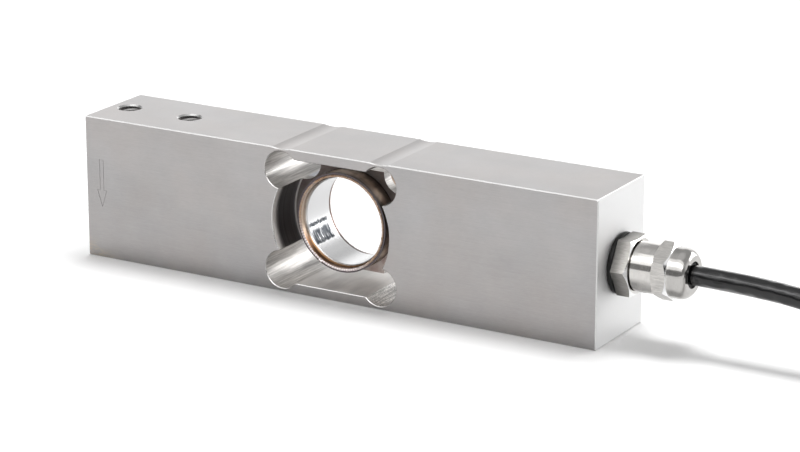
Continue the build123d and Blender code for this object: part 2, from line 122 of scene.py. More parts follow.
class Flow:
    # one socket of a material's tree; + - * / on it add Math nodes
    def __init__(self, tree, socket=None):
        self.tree = tree
        self.socket = socket

    def node(self, kind, settings=None, inputs=None, output=0):
        made = self.tree.nodes.new(kind)
        for name, value in (settings or {}).items():
            if name == "stops":
                ramp = made.color_ramp
                while len(ramp.elements) < len(value):
                    ramp.elements.new(0.5)
                for element, (place, colour) in zip(ramp.elements, value):
                    element.position = place
                    element.color = (*colour, 1)
            else:
                setattr(made, name, value)
        for name, value in (inputs or {}).items():
            if isinstance(value, Flow):
                self.tree.links.new(value.socket, made.inputs[name])
            else:
                made.inputs[name].default_value = value
        return Flow(self.tree, made.outputs[output] if made.outputs else None)

    def math(self, operation, first, second=0.0):
        return self.node("ShaderNodeMath", {"operation": operation}, {0: first, 1: second})

    def __add__(self, other):
        return self.math("ADD", self, other)

    __radd__ = __add__

    def __sub__(self, other):
        return self.math("SUBTRACT", self, other)

    def __rsub__(self, other):
        return self.math("SUBTRACT", other, self)

    def __mul__(self, other):
        return self.math("MULTIPLY", self, other)

    __rmul__ = __mul__

    def __truediv__(self, other):
        return self.math("DIVIDE", self, other)

    def __rtruediv__(self, other):
        return self.math("DIVIDE", other, self)

    def size(self):
        return self.math("ABSOLUTE", self)

    def sign(self):
        return self.math("SIGN", self)

    def larger(self, other):
        return self.math("MAXIMUM", self, other)

    def hypotenuse(self, other):
        return self.math("SQRT", self * self + other * other)

    def swing(self, amount):
        # a noise about 0.5 becomes one about 0
        return (self - 0.5) * amount

    def part(self, output):
        return Flow(self.tree, self.socket.node.outputs[output])

    def split(self):
        parts = self.node("ShaderNodeSeparateXYZ", {}, {0: self})
        return parts, parts.part(1), parts.part(2)

    def step(self, low, high, start=0.0, end=1.0):
        # a soft step from start to end while the value goes from low to high
        settings = {"interpolation_type": "SMOOTHSTEP"}
        ends = {"From Min": low, "From Max": high, "To Min": start, "To Max": end}
        return self.node("ShaderNodeMapRange", settings, {"Value": self, **ends})

    def fade(self, low, high):
        # a soft step from 1 down to 0
        return self.step(low, high, 1.0, 0.0)

    def between(self, rise, fall):
        return self.step(*rise) * self.fade(*fall)

    def noise(self, scale, detail=3.0, roughness=0.55):
        inputs = {"Vector": self, "Scale": scale, "Detail": detail, "Roughness": roughness}
        return self.node("ShaderNodeTexNoise", {}, inputs)

    def marks(self, scales, detail=3.0, roughness=0.55):
        # a noise drawn out along the directions whose scale is small
        stretched = self.node("ShaderNodeMapping", {}, {"Vector": self, "Scale": scales})
        return stretched.noise(1.0, detail, roughness)

    def colour(self, rgb):
        return self.node("ShaderNodeCombineColor", {}, {0: rgb[0], 1: rgb[1], 2: rgb[2]})

    def mixed(self, other, factor):
        # this colour where factor is 0, the other where it is 1
        return self.node("ShaderNodeMix", {"data_type": "RGBA"}, {"Factor": factor, 6: self, 7: other}, 2)

    def scaled(self, level):
        # this colour or place times a number
        return self.node("ShaderNodeVectorMath", {"operation": "SCALE"}, {0: self, "Scale": level})

    def vector(self, x, y, z=0.0):
        return self.node("ShaderNodeCombineXYZ", {}, {0: x, 1: y, 2: z})

    def ramp(self, stops):
        return self.node("ShaderNodeValToRGB", {"stops": stops}, {"Fac": self})


class Finish:
    # a Principled material whose changing sockets are given as flows
    def __init__(self, name):
        self.material = bpy.data.materials.new(name)
        self.material.use_nodes = True
        self.tree = self.material.node_tree
        self.tree.nodes.clear()
        self.shader = self.tree.nodes.new("ShaderNodeBsdfPrincipled")
        output = self.tree.nodes.new("ShaderNodeOutputMaterial")
        self.tree.links.new(self.shader.outputs[0], output.inputs[0])
        self.flow = Flow(self.tree)
        self.inMm = self.flow.node("ShaderNodeTexCoord", output="Object").scaled(1000.0)

    def give(self, **sockets):
        for name, value in sockets.items():
            socket = self.shader.inputs[name.replace("_", " ")]
            if isinstance(value, Flow):
                self.tree.links.new(value.socket, socket)
            else:
                socket.default_value = value

    def bump(self, height, strength, distance):
        inputs = {"Height": height, "Strength": strength, "Distance": distance}
        self.give(Normal=self.flow.node("ShaderNodeBump", {}, inputs))


beamSteel = {
    "colours": {
        "ground": (0.420, 0.399, 0.391),
        "groundCool": (0.404, 0.395, 0.396),
        # painted light: the end faces are painted lighter than the long faces
        "ends": (0.69, 0.69, 0.69),
        # painted highlight: the chamfered edges are painted lighter than the faces beside them
        "edge": (0.60, 0.60, 0.595),
        "stain": (0.52, 0.455, 0.375),
        # painted shade inside the threaded holes
        "hole": (0.05, 0.045, 0.045),
        "machined": (0.53, 0.515, 0.500),
        "lobeRim": (0.45, 0.44, 0.43),
        # painted shade deep inside the bulges
        "recessShade": (0.235, 0.240, 0.255),
        "web": (0.190, 0.165, 0.155),
        "webWarm": (0.155, 0.120, 0.110),
        # painted highlight along the web's rim, where it meets the bulge wall
        "webRimHighlight": (0.60, 0.575, 0.555),
        "hubRim": (0.110, 0.095, 0.100),
    },
    # heat tint of the hub's outer wall, from the web out to the rim, painted near black at the crease by the
    # web as a painted shadow
    "hubTintAndCreaseShade": [
        (0.0, (0.010, 0.008, 0.007)),
        (0.10, (0.170, 0.130, 0.112)),
        (0.35, (0.225, 0.178, 0.148)),
        (0.60, (0.240, 0.182, 0.138)),
        (0.82, (0.170, 0.134, 0.115)),
        (1.0, (0.060, 0.050, 0.048)),
    ],
    # places from the middle of the block, the same on both sides of it
    "lobeX": 14.3,
    "lobeZ": 13.1,
    "holePairX": 60.0,
    "holeFromPair": 9.5,
    "hubStartY": 1.5,
    "hubLength": 5.55,
    # where one surface ends and the next begins, as a narrow range
    "limits": {
        "windowX": (19.6, 19.9),
        "windowZ": (18.25, 18.45),
        "windowY": (12.2, 12.4),
        "endX": (74.85, 74.95),
        "lobe": (5.06, 5.16),
        "lobeRim": (5.5, 5.8),
        "flexureZ": (16.15, 16.25),
        "bulge": (16.9, 17.1),
        "recessShadeY": (8.9, 11.4),
        "hub": (13.05, 13.2),
        "hubFootY": (1.4, 1.6),
        "hubRim": (13.4, 13.5),
        "hubRimY": (6.9, 7.0),
        "webY": (1.55, 1.8),
        "webAtLobe": (4.9, 5.05),
        "webRimHighlight": (16.8, 16.95),
        "hole": (3.38, 3.42),
        "holeMouthZ": (18.9, 18.99),
        "holeDarkZ": (16.2, 17.8),
    },
    # scales of each kind of marks, their detail and roughness
    "marks": {
        "grinding": ((0.12, 5.0, 5.0), 4.0, 0.6),
        "fine": ((0.9, 11.0, 11.0), 2.0),
        "stain": ((0.4, 1.0, 1.6), 3.0, 0.7),
        "sheen": ((0.22, 0.05, 1.0), 2.0),
    },
    # how much the marks change the brightness of the ground faces
    "grindingShade": 0.18,
    "cloudShade": 0.24,
    "fineShade": 0.20,
    "stainX": -66.0,
    "stainStrength": 0.8,
    # the brightness of the machined surfaces, and how much each kind of marks changes it
    "lobes": {
        "level": 0.50,
        "bands": 0.72,
        "streaks": 0.46,
        # the painted highlight line in the upper left lobe, and where it lies round the lobe
        "threadRidgeAndLobeHighlight": 0.5,
        "lobeHighlightTurn": -0.345,
        # painted light: how much lighter the two lower lobes are painted
        "lowerRightLit": 0.7,
        "lowerLeftLit": 0.25,
    },
    # painted highlight at the bulges' mouths; below it, painted shade deeper in
    "bulgeMouthLit": 1.6,
    "recessShadeLevel": 0.45,
    "recessShadeRings": 1.5,
    # painted sheen: the thin beams are painted lighter
    "flexureLevel": 1.34,
    "flexureSheen": 0.34,
    "flexureGrinding": 0.24,
    "bumpStrength": 0.2,
    "bumpDepth": 0.00003,  # metres
    "roughness": 0.34,
    # how much rougher each surface is
    "rougher": {
        "window": -0.06,
        "hub": 0.22,
        "bulge": 0.10,
        "bulgeMouth": 0.22,
        "lobe": 0.12,
        "flexure": 0.24,
        "web": 0.26,
        "edge": -0.08,
        "ends": 0.24,
    },
}


def makeBeamSteel():
    finish = Finish("beamSteel")
    flow = finish.flow
    paint = {name: flow.colour(rgb) for name, rgb in beamSteel["colours"].items()}
    limits = beamSteel["limits"]
    x, y, z = finish.inMm.split()
    height = z - axisLevel
    wide, deep, tall = x.size(), y.size(), height.size()
    radius = x.hypotenuse(height)
    lobeX = wide - beamSteel["lobeX"]
    lobeZ = tall - beamSteel["lobeZ"]
    fromLobe = lobeX.hypotenuse(lobeZ)
    lobeTurn = flow.math("ARCTAN2", lobeZ, lobeX)
    facing = flow.node("ShaderNodeTexCoord", output="Normal")
    alongX, alongY, alongZ = (part.size() for part in facing.split())

    # where each surface lies
    window = wide.fade(*limits["windowX"]) * tall.fade(*limits["windowZ"]) * deep.fade(*limits["windowY"])
    outside = 1.0 - window
    edge = alongX.larger(alongY).larger(alongZ).fade(0.75, 0.93) * outside
    ends = wide.step(*limits["endX"])
    upright = alongY.step(0.8, 0.95)
    wall = alongY.fade(0.4, 0.7)
    onLobe = window * fromLobe.fade(*limits["lobe"])
    offLobe = 1.0 - onLobe
    onFlexure = window * tall.step(*limits["flexureZ"]) * offLobe
    onBulge = window * radius.step(*limits["bulge"]) * wall * offLobe * (1.0 - onFlexure)
    onHub = window * radius.fade(*limits["hub"]) * wall * deep.step(*limits["hubFootY"])
    onWeb = window * deep.fade(*limits["webY"]) * (1.0 - wall) * fromLobe.step(*limits["webAtLobe"])
    onHubRim = window * deep.step(*limits["hubRimY"]) * (1.0 - wall) * radius.fade(*limits["hubRim"])

    # grinding marks run along the beam on its outer faces
    marks = beamSteel["marks"]
    grinding = finish.inMm.marks(*marks["grinding"])
    fine = finish.inMm.marks(*marks["fine"])
    cloud = finish.inMm.noise(0.07, 3.0, 0.6)
    hue = finish.inMm.noise(0.05, 3.0, 0.6).swing(3.0) + 0.5
    shade = 1.0 + grinding.swing(beamSteel["grindingShade"]) + cloud.swing(beamSteel["cloudShade"])
    shade = shade + fine.swing(beamSteel["fineShade"])
    # painted shade: the upright faces are painted darker towards the bottom, where they mirror the shaded
    # floor close to the block
    shade = shade * (1.0 + upright * height.step(-19.0, 14.0, -0.13, 0.02))
    # brownish handling marks at the lower corner of the free end
    corner = (x - beamSteel["stainX"] + z * 2.0).fade(-6.0, 5.0)
    corner = corner * finish.inMm.marks(*marks["stain"]).step(0.40, 0.58)
    ground = paint["groundCool"].mixed(paint["ground"], hue)
    ground = ground.mixed(paint["stain"], corner * upright * beamSteel["stainStrength"]).scaled(shade)

    # the lobes were cut along Y, so their marks run that way, each lobe with its own
    around = lobeTurn * 5.0
    lobeSeed = x.sign() * 3.1 + height.sign() * 7.7
    bands = flow.vector(around, y * 0.07, lobeSeed).noise(0.45, 2.0)
    streaks = flow.vector(around, y * 0.05, lobeSeed).noise(2.2, 4.0, 0.6)
    speckle = finish.inMm.noise(2.4, 4.0, 0.75).step(0.42, 0.60)
    low = height.fade(-9.0, -6.0)
    lowRight = x.step(3.0, 6.0) * low
    lowLeft = x.fade(-6.0, -3.0) * low
    # painted highlight: one bright line is painted along the lobe at the upper left; the lobe's shape has no
    # ridge there
    lobes = beamSteel["lobes"]
    threadRidgeAndLobeHighlight = (lobeTurn - lobes["lobeHighlightTurn"]).size().fade(0.015, 0.04)
    threadRidgeAndLobeHighlight = threadRidgeAndLobeHighlight * x.fade(-3.0, 0.0) * height.step(0.0, 3.0)
    lobeLevel = lobes["level"] + bands * lobes["bands"]
    lobeLevel = lobeLevel + streaks.step(0.30, 0.70).swing(lobes["streaks"]) + threadRidgeAndLobeHighlight * lobes["threadRidgeAndLobeHighlight"]
    lobeLevel = lobeLevel * (1.0 - speckle * (0.05 + 0.40 * lowRight))
    # painted light: the two lower lobes are painted lighter, the right one most
    lobeLevel = lobeLevel * (1.0 + lowRight * lobes["lowerRightLit"] + lowLeft * lobes["lowerLeftLit"])

    # painted light: the bulges' walls are painted lighter at the mouth and dark further in, painted shade in
    # the recess, with turned marks that run at one depth
    rings = flow.vector(0.0, y, radius * 0.5).noise(1.6, 3.0)
    deepInRecess = deep.fade(*limits["recessShadeY"])
    foot = deep.fade(1.6, 1.85)
    recessShade = paint["recessShade"].scaled(beamSteel["recessShadeLevel"] + rings * beamSteel["recessShadeRings"])
    # painted sheen: the thin beams above and below are painted lighter, in broad painted highlight patches
    sheen = finish.inMm.marks(*marks["sheen"]).step(0.35, 0.65).swing(beamSteel["flexureSheen"])
    flexureLevel = beamSteel["flexureLevel"] + sheen + grinding.swing(beamSteel["flexureGrinding"])

    # the web and the hub carry the heat tint of the welds
    warm = finish.inMm.noise(0.30, 2.0).step(0.40, 0.62)
    grain = finish.inMm.noise(5.0, 3.0, 0.7)
    web = paint["web"].mixed(paint["webWarm"], warm)
    # painted light: the web is painted lighter at its lower right
    web = web.scaled(1.0 + x.step(1.0, 8.0) * height.step(-6.0, 0.0, 1.6, 0.0))
    hubPlace = (deep - beamSteel["hubStartY"]) / beamSteel["hubLength"]
    hub = hubPlace.ramp(beamSteel["hubTintAndCreaseShade"]).scaled(1.10 + warm * 0.7)

    # painted shade: the threaded holes are painted dark below the first turn, and a little darker towards the
    # cable end
    fromPair = wide - beamSteel["holePairX"]
    holeX = fromPair.size() - beamSteel["holeFromPair"]
    holeSide = holeX * fromPair.sign() * x.sign()
    inHole = holeX.hypotenuse(y).fade(*limits["hole"]) * tall.fade(*limits["holeMouthZ"])
    holeDark = tall.fade(*limits["holeDarkZ"]).larger(holeSide.step(-1.6, 0.4, 0.0, 0.40))

    base = ground.mixed(paint["machined"], window)
    base = base.mixed(paint["machined"].scaled(lobeLevel), onLobe)
    # painted highlight at the bulges' mouths
    base = base.mixed(paint["machined"].scaled(beamSteel["bulgeMouthLit"]), onBulge * (1.0 - deepInRecess))
    base = base.mixed(paint["machined"].scaled(flexureLevel), onFlexure)
    # painted shade deep inside the bulges
    base = base.mixed(recessShade, onBulge * deepInRecess * (1.0 - foot))
    # painted light: the end faces are painted lighter than the long faces
    base = base.mixed(paint["ends"], ends)
    # painted highlight: the chamfered edges are painted lighter than the faces beside them
    base = base.mixed(paint["edge"], edge)
    base = base.mixed(paint["lobeRim"], edge * fromLobe.fade(*limits["lobeRim"]))
    base = base.mixed(web.scaled(0.85 + grain * 0.3), onWeb)
    # painted highlight along the web's rim, where it meets the bulge wall
    base = base.mixed(paint["webRimHighlight"], onWeb * radius.step(*limits["webRimHighlight"]))
    # painted shade in the threaded holes
    base = base.mixed(paint["hole"], inHole * holeDark)
    base = base.mixed(hub, onHub)
    base = base.mixed(paint["hubRim"].scaled(0.8 + grain * 0.4), onHubRim)

    rougher = beamSteel["rougher"]
    rough = beamSteel["roughness"] + grinding.swing(0.12) * outside
    rough = rough + window * rougher["window"] + onHub * rougher["hub"]
    rough = rough + onBulge * (rougher["bulge"] + rougher["bulgeMouth"] * (1.0 - deepInRecess))
    rough = rough + onLobe * (rougher["lobe"] + lowLeft * 0.08 + streaks.swing(0.10))
    rough = rough + onFlexure * rougher["flexure"] + onWeb * rougher["web"]
    rough = rough + edge * rougher["edge"] + ends * rougher["ends"]
    finish.give(Base_Color=base, Metallic=1.0 - onWeb * 0.45, Roughness=rough)
    relief = (grinding + fine * 0.5) * outside + (streaks + speckle * 0.4) * onLobe + grain * onWeb
    finish.bump(relief, beamSteel["bumpStrength"], beamSteel["bumpDepth"])
    return finish.material


sleeve = {
    "radius": 11.5,
    "lipY": 7.05,
    "steel": (0.62, 0.62, 0.625),
    "patchDark": (0.018, 0.022, 0.028),
    "rearRim": (0.13, 0.085, 0.075),
    # the patch of dark strokes: radians round the sleeve, and mm along it
    "patchStart": 3.38,
    "patchEnd": 3.88,
    "patchFront": (-5.2, -4.5),
    "patchBack": (3.3, 4.2),
    "patchWave": 0.16,
    "patchShine": 0.4,
    # heat tint from the weld inwards: paler at the left, darker below
    "paleHeat": [
        (0.0, (0.22, 0.16, 0.13)),
        (0.15, (0.38, 0.30, 0.235)),
        (0.60, (0.30, 0.225, 0.17)),
        (0.82, (0.46, 0.38, 0.31)),
        (0.94, (0.86, 0.86, 0.86)),
    ],
    "darkHeat": [
        (0.0, (0.16, 0.11, 0.10)),
        (0.08, (0.48, 0.27, 0.13)),
        (0.16, (0.070, 0.030, 0.012)),
        (0.70, (0.105, 0.048, 0.020)),
        (0.88, (0.42, 0.25, 0.13)),
        (0.97, (0.84, 0.84, 0.84)),
    ],
    # radians round the sleeve
    "heatBelow": ((3.35, 3.75), (5.9, 6.2)),
    # a painted reflection: a band round the sleeve is painted lighter
    "paintedLightBand": ((3.82, 4.0), (4.1, 4.5)),
    "paintedLightBandBy": 0.45,
    # mm along it
    "frontHeatY": (-5.10, -5.00),
    "rearRimY": (6.3, 6.5),
    # scales of each kind of marks round and along the sleeve, their detail and roughness
    "rings": ((0.12, 7.0, 1.0), 3.0),
    "strokes": ((0.26, 3.2, 1.0), 2.0, 0.6),
    "dabs": ((1.6, 2.6, 1.0), 3.0, 0.7),
    "wave": ((0.0, 0.9, 1.0), 3.0),
    "heatBand": ((0.06, 6.0, 1.0), 2.0),
    "roughness": 0.26,
    "bumpStrength": 0.1,
    "bumpDepth": 0.00003,  # metres
}


def makeSleeveSteel():
    finish = Finish("sleeveSteel")
    flow = finish.flow
    x, y, z = finish.inMm.split()
    turn = flow.math("ARCTAN2", z - axisLevel, x)
    turn = turn + turn.fade(-0.01, 0.01) * (2 * math.pi)
    # the pattern is unrolled: round the sleeve, then along it
    unrolled = flow.vector(turn * sleeve["radius"], y)
    rings = unrolled.marks(*sleeve["rings"])
    strokes = unrolled.marks(*sleeve["strokes"])
    dabs = unrolled.marks(*sleeve["dabs"])
    wave = unrolled.marks(*sleeve["wave"]).swing(sleeve["patchWave"])

    # the patch: a dark edge, lighter metal, then strokes that darken to its other edge
    place = (turn + wave - sleeve["patchStart"]) / (sleeve["patchEnd"] - sleeve["patchStart"])
    inside = place.between((-0.04, 0.02), (0.97, 1.06)) * y.between(sleeve["patchFront"], sleeve["patchBack"])
    firstEdge = (place - 0.07).size().fade(0.06, 0.17) * dabs.step(0.25, 0.5)
    lastEdge = (place - 0.93).size().fade(0.05, 0.14) * dabs.step(0.30, 0.55)
    frontEdge = (y - sleeve["patchFront"][1]).size().step(0.15, 0.55, 0.8, 0.0)
    frontEdge = frontEdge * place.step(0.2, 0.5) * dabs.step(0.25, 0.5)
    darker = place.step(0.10, 0.42) * (strokes * 0.85 + dabs * 0.15).step(0.72, 0.50)
    patchDark = firstEdge.larger(lastEdge).larger(frontEdge.larger(darker)) * inside
    bright = inside * (1.0 - patchDark)

    heatPlace = (sleeve["lipY"] - y.size()) / 2.0 + unrolled.marks(*sleeve["heatBand"]).swing(0.5)
    darkHeat = heatPlace.ramp(sleeve["darkHeat"])
    heat = heatPlace.ramp(sleeve["paleHeat"]).mixed(darkHeat, turn.between(*sleeve["heatBelow"]))
    level = 1.0 + bright * sleeve["patchShine"]
    # painted reflection: a band round the sleeve is painted lighter
    level = level + turn.between(*sleeve["paintedLightBand"]) * sleeve["paintedLightBandBy"]
    base = flow.colour(sleeve["steel"]).scaled(level)
    base = base.mixed(flow.colour(sleeve["patchDark"]), patchDark)
    base = base.mixed(heat, y.fade(*sleeve["frontHeatY"]))
    base = base.mixed(flow.colour(sleeve["rearRim"]), y.step(*sleeve["rearRimY"]))
    rough = sleeve["roughness"] + rings * 0.02 + patchDark * 0.08
    finish.give(Base_Color=base, Metallic=1.0, Roughness=rough)
    finish.bump(rings * 0.15 + strokes * inside, sleeve["bumpStrength"], sleeve["bumpDepth"])
    return finish.material


weldRing = {
    "radius": 12.29,
    "thickness": 0.31,
    "offset": 7.05,
    "segments": 440,
    "segmentsAcross": 12,
    "rippleEvery": 4,
    "rippleHeight": 0.07,
    # the drop of spatter, as X and Z from the axis
    "spatterAt": (-6.2, -10.902),
    "spatterReach": 0.45,
    "spatterHeight": 0.22,
    "roughness": 0.22,
    "bumpStrength": 0.2,
    "bumpDepth": 0.00004,  # metres
    "silver": (0.66, 0.60, 0.595),
    # heat tint round the ring
    "heat": [
        (0.25, (0.16, 0.11, 0.10)),
        (0.42, (0.40, 0.25, 0.16)),
        (0.55, (0.50, 0.36, 0.27)),
        (0.72, (0.22, 0.20, 0.24)),
    ],
}


def makeWeldMetal():
    finish = Finish("weldMetal")
    flow = finish.flow
    x, _, z = finish.inMm.split()
    height = z - axisLevel
    grain = finish.inMm.noise(7.0, 3.0)
    patch = finish.inMm.noise(0.5, 3.0) * 0.7 + grain * 0.3
    # the lower left of the ring stayed silvery
    silvery = (x * 0.35 + height * 0.90 + patch.swing(5.0)).fade(-9.0, -4.0)
    tint = patch.ramp(weldRing["heat"]).mixed(flow.colour(weldRing["silver"]), silvery)
    turn = flow.math("ARCTAN2", height, x)
    ripple = flow.math("COSINE", turn * (weldRing["segments"] / weldRing["rippleEvery"]))
    level = 0.80 + grain * 0.25 + ripple * (0.08 + 0.20 * silvery)
    rough = weldRing["roughness"] + grain * 0.14
    finish.give(Base_Color=tint.scaled(level), Metallic=1.0, Roughness=rough)
    finish.bump(grain, weldRing["bumpStrength"], weldRing["bumpDepth"])
    return finish.material


gland = {
    "turned": (0.60, 0.585, 0.565),
    "bodyFlats": (0.42, 0.405, 0.385),
    "nutFlats": (0.56, 0.545, 0.525),
    "chamfer": (0.82, 0.82, 0.82),
    # mm along X, where each hexagon starts and ends
    "bodyHex": ((76.15, 76.2), (80.25, 80.3)),
    "nutHex": ((85.95, 86.0), (90.0, 90.05)),
    # painted shade on the body's hexagon and the nut's dome
    "bodyShadeX": (76.2, 80.0),
    "bodyShade": 0.60,
    "domeX": (90.0, 90.6),
    "domeLevel": 0.76,
    # scales of each kind of marks, their detail and roughness
    "turnedMarks": ((9.0, 0.5, 0.5), 3.0),
    "drawnMarks": ((0.5, 7.0, 7.0), 4.0, 0.65),
    "turnedShade": 0.20,
    "drawnShade": 1.3,
    "cloudShade": 0.3,
    "roughness": 0.07,
    "flatsRougher": 0.29,
    "bumpStrength": 0.3,
    "bumpDepth": 0.00004,  # metres
}


def makeTurnedMetal():
    finish = Finish("glandMetal")
    flow = finish.flow
    x = finish.inMm.split()[0]
    alongX = flow.node("ShaderNodeTexCoord", output="Normal").split()[0]
    # the round parts are turned, the flats of the hexagons are drawn and brushed
    turned = finish.inMm.marks(*gland["turnedMarks"])
    drawn = finish.inMm.marks(*gland["drawnMarks"])
    cloud = finish.inMm.noise(0.5, 2.0)
    flats = alongX.size().fade(0.05, 0.12)
    onBody = x.between(*gland["bodyHex"])
    onNut = x.between(*gland["nutHex"])
    hexes = (onBody + onNut) * flats
    offFlats = 1.0 - hexes
    chamfers = (onBody + onNut) * alongX.between((0.2, 0.4), (0.9, 0.98))
    base = flow.colour(gland["turned"]).mixed(flow.colour(gland["bodyFlats"]), onBody * flats)
    base = base.mixed(flow.colour(gland["nutFlats"]), onNut * flats)
    # painted highlight: the hexagons' chamfers are painted lighter than the turned metal
    base = base.mixed(flow.colour(gland["chamfer"]), chamfers)
    level = 1.0 + drawn.swing(gland["drawnShade"]) * hexes
    level = level + turned.swing(gland["turnedShade"]) * offFlats + cloud.swing(gland["cloudShade"])
    # painted shade: the nut's dome is painted darker, and the body's hexagon is painted darker towards the
    # block
    level = level * x.step(*gland["domeX"], 1.0, gland["domeLevel"])
    level = level * (1.0 - onBody * x.step(*gland["bodyShadeX"], gland["bodyShade"], 0.0))
    rough = gland["roughness"] + hexes * gland["flatsRougher"]
    rough = rough + turned * 0.08 + drawn.swing(0.2) * hexes + cloud * 0.04
    finish.give(Base_Color=base.scaled(level), Metallic=1.0, Roughness=rough)
    finish.bump(turned * offFlats * 0.5 + drawn * hexes, gland["bumpStrength"], gland["bumpDepth"])
    return finish.material


smallParts = {
    "grainScale": 3.0,
    "cloudScale": 0.36,
    "speckle": 0.12,
    "bumpStrength": 0.15,
    "bumpDepth": 0.00004,  # metres
}


def makeSmallPartFinish(name, colour, roughness, metallic=0.0, shine=0.5):
    # moulded, drawn or plated surface with a little unevenness in colour, gloss and relief
    finish = Finish(name)
    grain = finish.inMm.noise(smallParts["grainScale"])
    cloud = finish.inMm.noise(smallParts["cloudScale"], 2.0)
    level = 1.0 + grain.swing(smallParts["speckle"]) + cloud.swing(smallParts["speckle"])
    finish.give(Base_Color=finish.flow.colour(colour).scaled(level), Roughness=roughness + cloud.swing(0.12))
    finish.give(Metallic=metallic, Specular_IOR_Level=shine)
    finish.bump(grain, smallParts["bumpStrength"], smallParts["bumpDepth"])
    return finish.material


sheath = {
    "colour": (0.006, 0.006, 0.0065),
    "roughness": 0.09,
    "coat": 0.6,
    "coatRoughness": 0.05,
    "shine": 0.2,
    "grainScale": 1.6,
    "waves": ((0.20, 0.3, 0.3), 1.0),
    "waveDepth": 0.0011,  # metres
}


def makeSheath():
    # glossy black sheath, a little wavy where it was drawn over its cores
    finish = Finish("cableSheath")
    grain = finish.inMm.noise(sheath["grainScale"])
    wave = finish.inMm.marks(*sheath["waves"])
    base = finish.flow.colour(sheath["colour"]).scaled(0.8 + grain * 0.4)
    finish.give(Base_Color=base, Roughness=sheath["roughness"] + grain * 0.05)
    finish.give(Coat_Weight=sheath["coat"], Coat_Roughness=sheath["coatRoughness"])
    finish.give(Specular_IOR_Level=sheath["shine"])
    finish.bump(wave + grain * 0.005, 1.0, sheath["waveDepth"])
    return finish.material


finishes = {
    "stainless_body": makeBeamSteel(),
    "stainless_sleeve": makeSleeveSteel(),
    "weld": makeWeldMetal(),
    "gland_metal": makeTurnedMetal(),
    "cable_sheath": makeSheath(),
    "seal_rubber": makeSmallPartFinish("sealRubber", (0.006, 0.006, 0.006), 0.45, shine=0.2),
    "cage_plastic": makeSmallPartFinish("cagePlastic", (0.05, 0.05, 0.05), 0.5),
    "tie_plastic": makeSmallPartFinish("tiePlastic", (0.03, 0.03, 0.03), 0.38),
    "gauge_foil": makeSmallPartFinish("gaugeFoil", (0.50, 0.30, 0.10), 0.35, metallic=0.4),
    "header_steel": makeSmallPartFinish("headerSteel", (0.55, 0.55, 0.54), 0.3, metallic=1.0),
    "header_glass": makeSmallPartFinish("headerGlass", (0.05, 0.12, 0.10), 0.08),
    "pin_gold": makeSmallPartFinish("pinGold", (0.80, 0.60, 0.26), 0.2, metallic=1.0),
    "wire_red": makeSmallPartFinish("wireEnamel", (0.45, 0.04, 0.02), 0.25),
    "board_green": makeSmallPartFinish("boardGreen", (0.02, 0.17, 0.06), 0.3),
    "resistor_black": makeSmallPartFinish("resistorBlack", (0.03, 0.03, 0.03), 0.4),
    "resistor_nickel": makeSmallPartFinish("resistorNickel", (0.60, 0.57, 0.52), 0.3, metallic=1.0),
    "tin": makeSmallPartFinish("tin", (0.72, 0.73, 0.74), 0.25, metallic=1.0),
    "liner_plastic": makeSmallPartFinish("linerPlastic", (0.72, 0.69, 0.60), 0.35),
    "core_insulation": makeSmallPartFinish("coreInsulation", (0.45, 0.45, 0.45), 0.4),
    "lead_grey": makeSmallPartFinish("leadGrey", (0.32, 0.32, 0.33), 0.4),
    "lead_red": makeSmallPartFinish("leadRed", (0.50, 0.02, 0.02), 0.4),
    "lead_blue": makeSmallPartFinish("leadBlue", (0.02, 0.09, 0.42), 0.4),
    "lead_green": makeSmallPartFinish("leadGreen", (0.02, 0.28, 0.07), 0.4),
    "lead_white": makeSmallPartFinish("leadWhite", (0.78, 0.78, 0.76), 0.4),
    "lead_black": makeSmallPartFinish("leadBlack", (0.02, 0.02, 0.02), 0.4),
}
slotOf = {part["node"]: part["material_slot"] for part in frame["record"]["subparts"]}
for nodeName, piece in frame["nodes"].items():
    piece.data.materials.clear()
    piece.data.materials.append(finishes[slotOf[nodeName]])
print("finishes given to", len(slotOf), "nodes")


cableRoute = {
    "diameter": 5.0,
    "stepsPerPoint": 6,
    "roundness": 5,
    "corners": [
        (94.0, 0.0, 19.0),
        (112.0, 0.0, 19.0),
        (131.0, -0.6, 17.0),
        (149.0, -4.0, 8.6),
        (165.0, -10.0, 2.5),
        (179.0, -10.0, 2.5),
    ],
    "hankStart": 195.0,
    "hankRun": 88.5,
    "hankSide": 10.0,
    "columns": (20.0, 15.0),  # the folds' radii
    "layers": 5,
    "topTurn": (17.0, 27.8),  # radius and height of the last turn
    # control points on one turn: mm along a run, degrees from one to the next on a fold
    "frontPlaces": (8.0, 44.25, 80.5),
    "backPlaces": (80.5, 54.0, 44.25, 34.5, 8.0),
    "foldSteps": {"right": 45.0, "left": 15.0},
    # at its end a turn moves over to the next one's place
    "moveLength": 22.0,
    "moveEnd": 4.0,
    "moveStagger": 6.6,
    # the tie squeezes the back runs towards their middle, which is given as a radius and a height
    "tieAt": 239.25,
    "tieReach": 12.0,
    "runMiddle": (17.5, 12.5),
    "squeezeInTie": 0.9,
    "squeezeByTie": 0.97,
    "tail": [(206.0, -7.5, 27.8), (216.0, -7.5, 27.8), (227.0, -7.5, 27.8)],
}


def hankSlots():
    # radius and height of each turn: the columns change places in every second layer
    slots = []
    outer, inner = cableRoute["columns"]
    for layer in range(cableRoute["layers"]):
        pair = [outer, inner] if layer % 2 == 0 else [inner, outer]
        slots += [(radius, cableRoute["diameter"] * (layer + 0.5)) for radius in pair]
    return slots + [cableRoute["topTurn"]]


def foldPlaces(kind):
    step = cableRoute["foldSteps"][kind]
    return [(kind, step * (i + 0.5)) for i in range(int(180 / step))]


